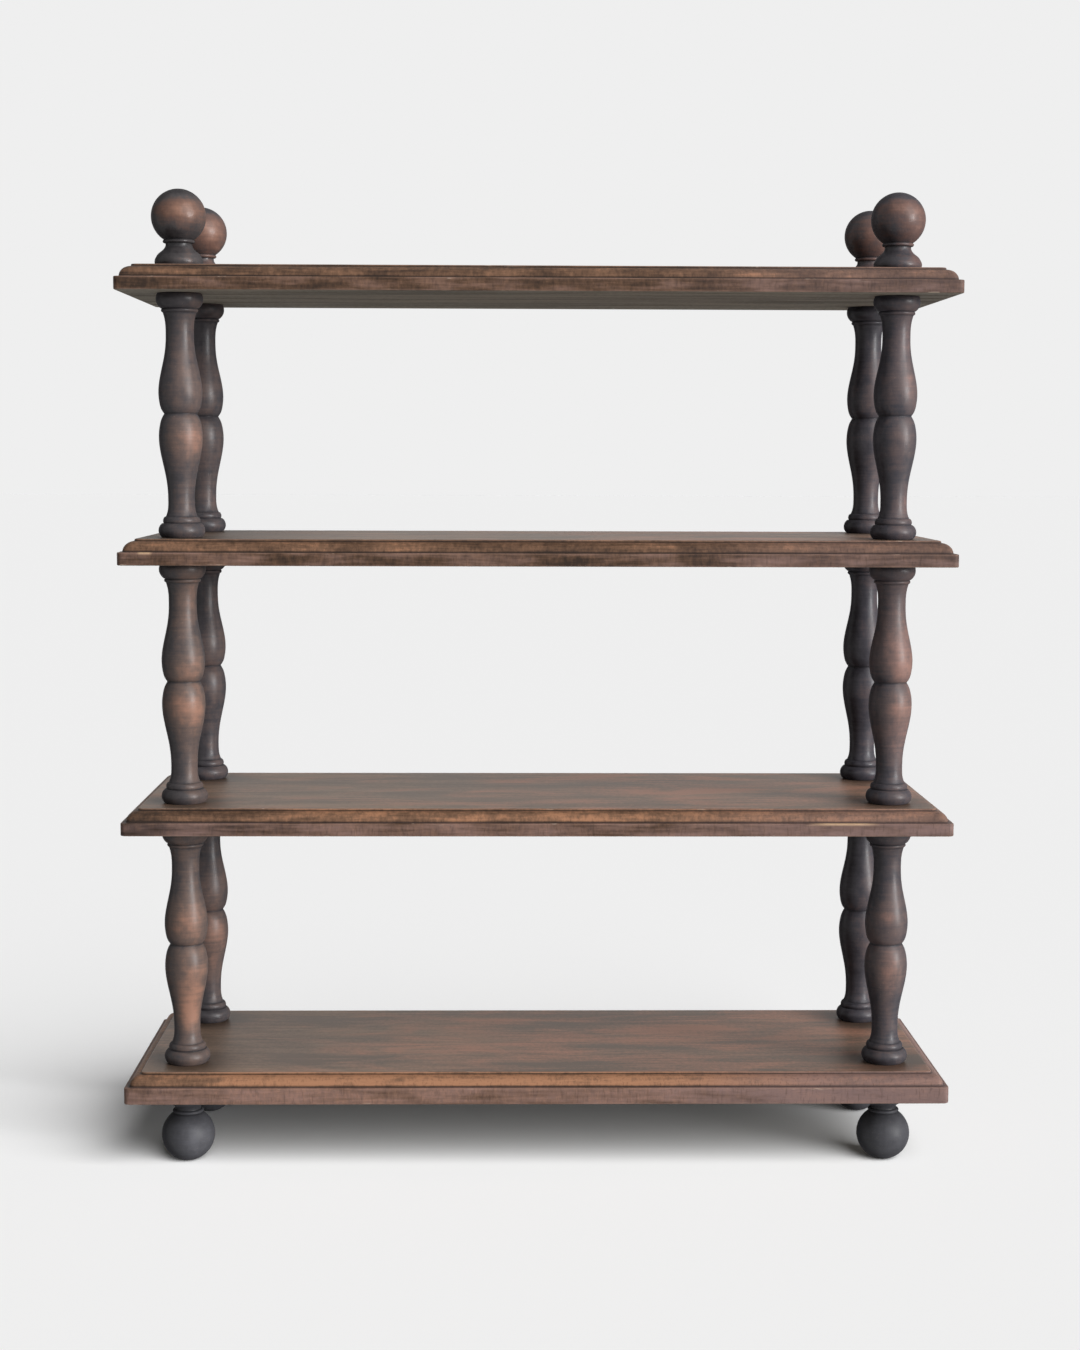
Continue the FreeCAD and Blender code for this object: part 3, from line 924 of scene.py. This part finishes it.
def board_rows(s, thick):
    """Section of a board's edge from below to above: how far out and how high each row lies, and
    how much it is an outer corner, an inner corner, moulding, quarter round or underside."""
    band_top = thick - s.step - s.ovolo
    into = s.ledge + s.ovolo
    bow = s.ovolo * (1 - math.sqrt(0.5))
    path = outline((-EDGE_REACH, 0.0), [
        [(0.0, 0.0)],
        [(0.0, band_top)],
        [(-s.ledge, band_top)],
        [(-s.ledge - bow, band_top + s.ovolo * math.sqrt(0.5)), (-into, band_top + s.ovolo)],
        [(-into, thick)],
        [(-EDGE_REACH, thick)],
    ])
    rows, crest, hollow = worked(path, s.worn, EDGE_EVEN, EDGE_TURN, False)
    out, height = rows.T

    def rise(values, low, high):
        return np.clip((values - low) / (high - low), 0, 1)

    # The finishes pass into each other over less than a millimetre
    below_top, above_base = (thick - 0.0005, thick - 0.0001), (0.00005, 0.0006)
    past_ledge, above_ledge = (s.ledge - 0.001, s.ledge), (band_top + 0.0002, band_top + 0.001)
    edge = (1 - rise(height, *below_top)) * rise(height, *above_base)
    ovolo = rise(-out, *past_ledge) * rise(height, *above_ledge) * edge
    return out, height, crest, hollow, edge, ovolo, 1 - rise(height, 0.0, 0.0004)


def carried(sample, out, s):
    """The outer ring moved in by the same distance on every side: each point keeps its share of the
    side that it lies on, so all rings have the same number of points and the corners are mitred."""
    flat_x, flat_y = s.width / 2 - s.corner, s.depth / 2 - s.corner
    core = np.clip(sample, (-flat_x, -flat_y), (flat_x, flat_y))
    return core * ((flat_x + out) / flat_x, (flat_y + out) / flat_y) + (sample - core)


class SHELF_OT_boards(bpy.types.Operator):
    """Make the four boards with their moulded, mitred edges and stud holes"""
    bl_idname = "shelf.boards"
    bl_label = "Make the boards"

    def execute(self, context):
        s, colours = context.scene.shelf_boards, context.scene.shelf_finish
        sample = board_ring(s.width / 2, s.depth / 2, s.corner, s.pitch)
        m = len(sample)
        b = np.arange(HOLE_COLUMNS) * (2 * math.pi / HOLE_COLUMNS)
        hole = s.hole / 2 * np.column_stack((np.cos(b), np.sin(b)))
        holes = [corner_place(corner, 0.0)[:2] + hole for corner in CORNERS]
        posts = corner_place("rear_right", 0.0)[:2]
        finishes = {}
        for seed, name in enumerate(BOARDS, 1):
            ledge = (s.ledge - s.depth / 2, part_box(f"shelf_{name}")[1].z - s.step - s.ovolo)
            tone = dict(zip(TONE_KEYS, BOARD_TONES[name]))
            finishes[name] = board_finish(f"stain_board_{name}", colours, seed, tone, posts, ledge)
        for name, finish in finishes.items():
            low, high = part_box(f"shelf_{name}")
            thick = s.base_thickness if name == "bottom" else s.thickness
            out, height, crest, hollow, edge, ovolo, under = board_rows(s, thick)
            n = len(out)
            points = np.vstack([np.column_stack((carried(sample, o, s), np.full(m, h)))
                                for o, h in zip(out, height)])
            below = cap(points[:m, :2], holes, False)
            above = cap(points[-m:, :2], holes, True)
            rims = [np.vstack([np.column_stack((h, np.full(HOLE_COLUMNS, z))) for h in holes])
                    for z in (0.0, thick)]
            base, rim = n * m, len(rims[0])
            below = np.where(below < m, below, base + below - m)
            above = np.where(above < m, (n - 1) * m + above, base + rim + above - m)
            lower = base + np.arange(rim).reshape(-1, HOLE_COLUMNS)
            upper = lower + rim
            walls = (lower, upper, np.roll(upper, -1, 1), np.roll(lower, -1, 1))
            walls = np.stack(walls, axis=-1).reshape(-1, 4)
            points = np.vstack([points] + rims)

            def spread(values, at_low=0.0, at_high=0.0):
                """A value of each row for all its points, and one for the rims of each face."""
                rims_too = np.full(rim, at_low), np.full(rim, at_high)
                return np.concatenate((np.repeat(values, m), *rims_too))

            facing_front = np.clip(-points[:, 1] / (s.depth / 2), 0, 1) ** FRONT_POWER
            rub = np.full(len(points), EDGE_RUB)
            on_ovolo = spread(ovolo)
            for place, wide, on_round, on_band in EDGE_RUBS[name]:
                strength = on_band + (on_round - on_band) * on_ovolo
                rub += strength * np.exp(-((points[:, 0] - place) / wide) ** 2) * facing_front
            traits = {"crest": spread(crest), "hollow": spread(hollow), "edge": spread(edge),
                      "ovolo": on_ovolo, "rub": rub, "under": spread(under, at_low=1.0)}
            points = points + ((low.x + high.x) / 2, (low.y + high.y) / 2, low.z)
            piece = skin(f"board_{name}", points, [grid(n, m), below, above, walls], traits, finish)
            settle(piece, [f"shelf_{name}"])
        return {"FINISHED"}


class SHELF_OT_posts(bpy.types.Operator):
    """Turn the twelve posts, each with its vases, rings, beads and bores"""
    bl_idname = "shelf.posts"
    bl_label = "Turn the posts"

    def execute(self, context):
        s, colours = context.scene.shelf_posts, context.scene.shelf_finish
        ring_top = s.foot_ring_height
        bead_top = ring_top + s.foot_bead_height
        collar_low = s.height - s.collar_height
        bead_low = collar_low - s.head_bead_height
        low_flare, high_flare = (s.foot_flare / 2, bead_top), (s.head_flare / 2, bead_low)
        low_neck = (s.low_neck / 2, s.low_neck_height)
        high_neck = (s.high_neck / 2, s.height - s.high_neck_drop)
        waist, widest = (s.waist / 2, s.waist_height), (s.vase / 2, s.waist_height)

        def to_waist(neck, flare):
            return toward(neck, flare, FLARE)[::-1] + [neck] + toward(neck, widest, VASE) + [waist]

        steps = [
            [(s.foot_seat / 2, 0.0)],
            [(s.foot_ring / 2, ring_top * FOOT_RING_SWELL), (s.foot_shoulder / 2, ring_top)],
            [(s.foot_groove / 2, ring_top)],
            [(s.foot_bead / 2, (ring_top + bead_top) / 2), (s.foot_crease / 2, bead_top)],
            [low_flare],
            to_waist(low_neck, low_flare),
            to_waist(high_neck, high_flare)[-2::-1] + [high_flare],
            [(s.head_groove / 2, bead_low)],
            [(s.head_bead / 2, (bead_low + collar_low) / 2), (s.head_groove / 2, collar_low)],
            [(s.head_bead / 2, collar_low)],
            [(s.collar / 2, collar_low + s.collar_height * COLLAR_SWELL),
             (s.collar_seat / 2, s.height)],
        ]
        shades = (colours.post_dark, colours.post_charcoal, colours.post_brown, colours.post_rubbed)
        finish = turned_finish("stain_turned", shades, rough=0.36, peel=1.5)
        path = bored(steps, s.height, context.scene.shelf_lathe, True)
        for level, (tier, stains) in enumerate(POST_STAIN_AND_LIGHT.items()):
            stains = {corner: (tone, cool, wear_and_light_patches + POST_ENDS)
                      for corner, (tone, cool, wear_and_light_patches) in stains.items()}
            seed = POST_SEED + level * len(CORNERS)
            pieces = at_corners(f"post_{tier}", f"spindle_{tier}", seed, stains)
            turned(context, path, pieces, finish)
        return {"FINISHED"}


class SHELF_OT_finials(bpy.types.Operator):
    """Turn the four ball finials"""
    bl_idname = "shelf.finials"
    bl_label = "Turn the finials"

    def execute(self, context):
        s, colours = context.scene.shelf_balls, context.scene.shelf_finish
        path = bored(ball_steps(s, s.height), s.height, context.scene.shelf_lathe, False)
        shades = (
            colours.post_dark, colours.post_charcoal, colours.finial_brown, colours.post_rubbed)
        finish = turned_finish("stain_finial", shades, rough=0.32, peel=5.0)
        pieces = at_corners("ball_finial", "finial", FINIAL_SEED, FINIAL_STAIN_AND_SHADE)
        turned(context, path, pieces, finish)
        return {"FINISHED"}


class SHELF_OT_feet(bpy.types.Operator):
    """Turn the four ball feet, the finial upside down with a flat cut where it stands"""
    bl_idname = "shelf.feet"
    bl_label = "Turn the feet"

    def execute(self, context):
        s, colours = context.scene.shelf_balls, context.scene.shelf_finish
        top = s.foot_height
        upright = bored(ball_steps(s, top + s.floor_flat), top, context.scene.shelf_lathe, False)
        path = upright[::-1] * (1, -1) + (0, top)
        kept = path[path[:, 1] > 0]
        path = np.vstack(([[0.0, 0.0], [kept[0, 0], 0.0]], kept))
        shades = [darker(colours.foot_dark, factor) for factor in FOOT_SHADES]
        finish = turned_finish("stain_foot", shades, rough=0.46, peel=3.0)
        pieces = at_corners("ball_foot", "foot", FOOT_SEED, FOOT_STAIN)
        turned(context, path, pieces, finish)
        return {"FINISHED"}


class SHELF_OT_fasteners(bpy.types.Operator):
    """Give the studs and inserts their zinc plating"""
    bl_idname = "shelf.fasteners"
    bl_label = "Plate the fasteners"

    def execute(self, context):
        zinc = steel_finish("zinc_plate", context.scene.shelf_finish.steel)
        for name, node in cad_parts.items():
            if name.startswith(("studs_", "inserts_")):
                node.data.materials.clear()
                node.data.materials.append(zinc)
        return {"FINISHED"}


def lay_floor(s, scene):
    """A wide floor that shows as the backdrop's tone and throws less light back than it shows."""
    paper = Nodes(bpy.data.materials.new("floor_paper"))
    bounce = paper.node("ShaderNodeBsdfDiffuse", {}, {"Color": (s.floor_bounce,) * 3})
    shown = paper.mixed(
        s.floor_glow, paper.node("ShaderNodeBsdfDiffuse", {}, {"Color": (s.floor,) * 3}),
        paper.node("ShaderNodeEmission", {}, {"Color": (s.backdrop,) * 3, "Strength": 1.0}))
    surface = paper.mixed(paper.plainly_seen(), bounce, shown)
    paper.node("ShaderNodeOutputMaterial", {"is_active_output": True}, {"Surface": surface})
    mesh = bpy.data.meshes.new("floor")
    corners = [(x * FLOOR_HALF, y * FLOOR_HALF, 0) for x, y in ((-1, -1), (1, -1), (1, 1), (-1, 1))]
    mesh.from_pydata(corners, [], [(0, 1, 2, 3)])
    mesh.materials.append(paper.owner)
    floor = bpy.data.objects.new("floor", mesh)
    scene.collection.objects.link(floor)
    return floor


def hang_lamp(name, s, scene, floor):
    """A lamp far away at its bearing and rise. The one called below lights the floor alone, where
    only the lowest pieces shade it. The others leave the floor out."""
    light = bpy.data.lights.new(name, "SUN")
    light.energy = getattr(s, name)
    light.angle = getattr(s, f"{name}_size")
    bearing, rise = getattr(s, f"{name}_bearing"), getattr(s, f"{name}_rise")
    to_lamp = Vector((
        math.cos(rise) * math.sin(bearing), -math.cos(rise) * math.cos(bearing), math.sin(rise)))
    lamp = bpy.data.objects.new(name, light)
    lamp.rotation_euler = to_lamp.to_track_quat("Z", "Y").to_euler()
    receivers = bpy.data.collections.new(f"lit_by_{name}")
    receivers.objects.link(floor)
    link_state = "INCLUDE" if name == "below" else "EXCLUDE"
    receivers.collection_objects[0].light_linking.link_state = link_state
    lamp.light_linking.receiver_collection = receivers
    if name == "below":
        shading = bpy.data.collections.new("shades_the_floor")
        turnings = [f"{part}_{corner}" for part in ("ball_foot", "post_low") for corner in CORNERS]
        for piece in ["board_bottom"] + turnings:
            shading.objects.link(bpy.data.objects[piece])
        lamp.light_linking.blocker_collection = shading
    scene.collection.objects.link(lamp)


def place_camera(scene):
    """The camera, from where the photograph was taken."""
    lens = bpy.data.cameras.new("camera")
    lens.lens, lens.sensor_width, lens.clip_end = LENS, SENSOR, SIGHT
    camera = bpy.data.objects.new("camera", lens)
    right = Vector((math.cos(YAW), math.sin(YAW), 0))
    ahead = Vector((-math.sin(YAW), math.cos(YAW), 0))
    up = Vector((0, 0, 1))
    view = ahead * math.cos(PITCH) - up * math.sin(PITCH)
    rise = ahead * math.sin(PITCH) + up * math.cos(PITCH)
    across = right * math.cos(ROLL) + rise * math.sin(ROLL)
    above = rise * math.cos(ROLL) - right * math.sin(ROLL)
    turn = Matrix((across, above, -view)).transposed().to_4x4()
    camera.matrix_world = Matrix.Translation(EYE) @ turn
    scene.collection.objects.link(camera)
    scene.camera = camera


class SHELF_OT_stage(bpy.types.Operator):
    """Lay the floor, set the lights and place the camera"""
    bl_idname = "shelf.stage"
    bl_label = "Set the stage"

    def execute(self, context):
        s, scene = context.scene.shelf_stage, context.scene
        scene.view_settings.view_transform = "Standard"
        scene.world = bpy.data.worlds.new("studio")
        air = Nodes(scene.world)
        dim = air.node("ShaderNodeBackground", {}, {"Color": (1, 1, 1), "Strength": s.dim})
        seen = {"Color": (s.backdrop,) * 3, "Strength": 1.0}
        backdrop = air.node("ShaderNodeBackground", {}, seen)
        surface = air.mixed(air.plainly_seen(), dim, backdrop)
        air.node("ShaderNodeOutputWorld", {}, {"Surface": surface})
        floor = lay_floor(s, scene)
        for name in LAMPS:
            hang_lamp(name, s, scene, floor)
        place_camera(scene)
        return {"FINISHED"}


class SHELF_PT_panel(bpy.types.Panel):
    """Steps of the shelf in the order in which they are made"""
    bl_idname = "SHELF_PT_panel"
    bl_label = "Open shelf"
    bl_space_type = "VIEW_3D"
    bl_region_type = "UI"
    bl_category = "Shelf"

    def draw(self, context):
        for operator in OPERATORS:
            self.layout.operator(operator.bl_idname)
        for name in SETTINGS:
            box = self.layout.box()
            group = getattr(context.scene, name)
            for key in group.__annotations__:
                box.prop(group, key)


SETTINGS = {
    "shelf_boards": ShelfBoards, "shelf_posts": ShelfPosts, "shelf_balls": ShelfBalls,
    "shelf_lathe": ShelfLathe, "shelf_finish": ShelfFinish, "shelf_stage": ShelfStage,
}
OPERATORS = (SHELF_OT_boards, SHELF_OT_posts, SHELF_OT_finials, SHELF_OT_feet, SHELF_OT_fasteners,
             SHELF_OT_stage)


def register():
    for cls in (*SETTINGS.values(), *OPERATORS, SHELF_PT_panel):
        bpy.utils.register_class(cls)
    for name, group in SETTINGS.items():
        setattr(bpy.types.Scene, name, PointerProperty(type=group))


def unregister():
    for name in SETTINGS:
        delattr(bpy.types.Scene, name)
    for cls in (SHELF_PT_panel, *reversed(OPERATORS), *reversed(SETTINGS.values())):
        bpy.utils.unregister_class(cls)


def main():
    register()
    bpy.ops.shelf.boards()
    bpy.ops.shelf.posts()
    bpy.ops.shelf.finials()
    bpy.ops.shelf.feet()
    bpy.ops.shelf.fasteners()
    bpy.ops.shelf.stage()


if __name__ == "__main__":
    main()
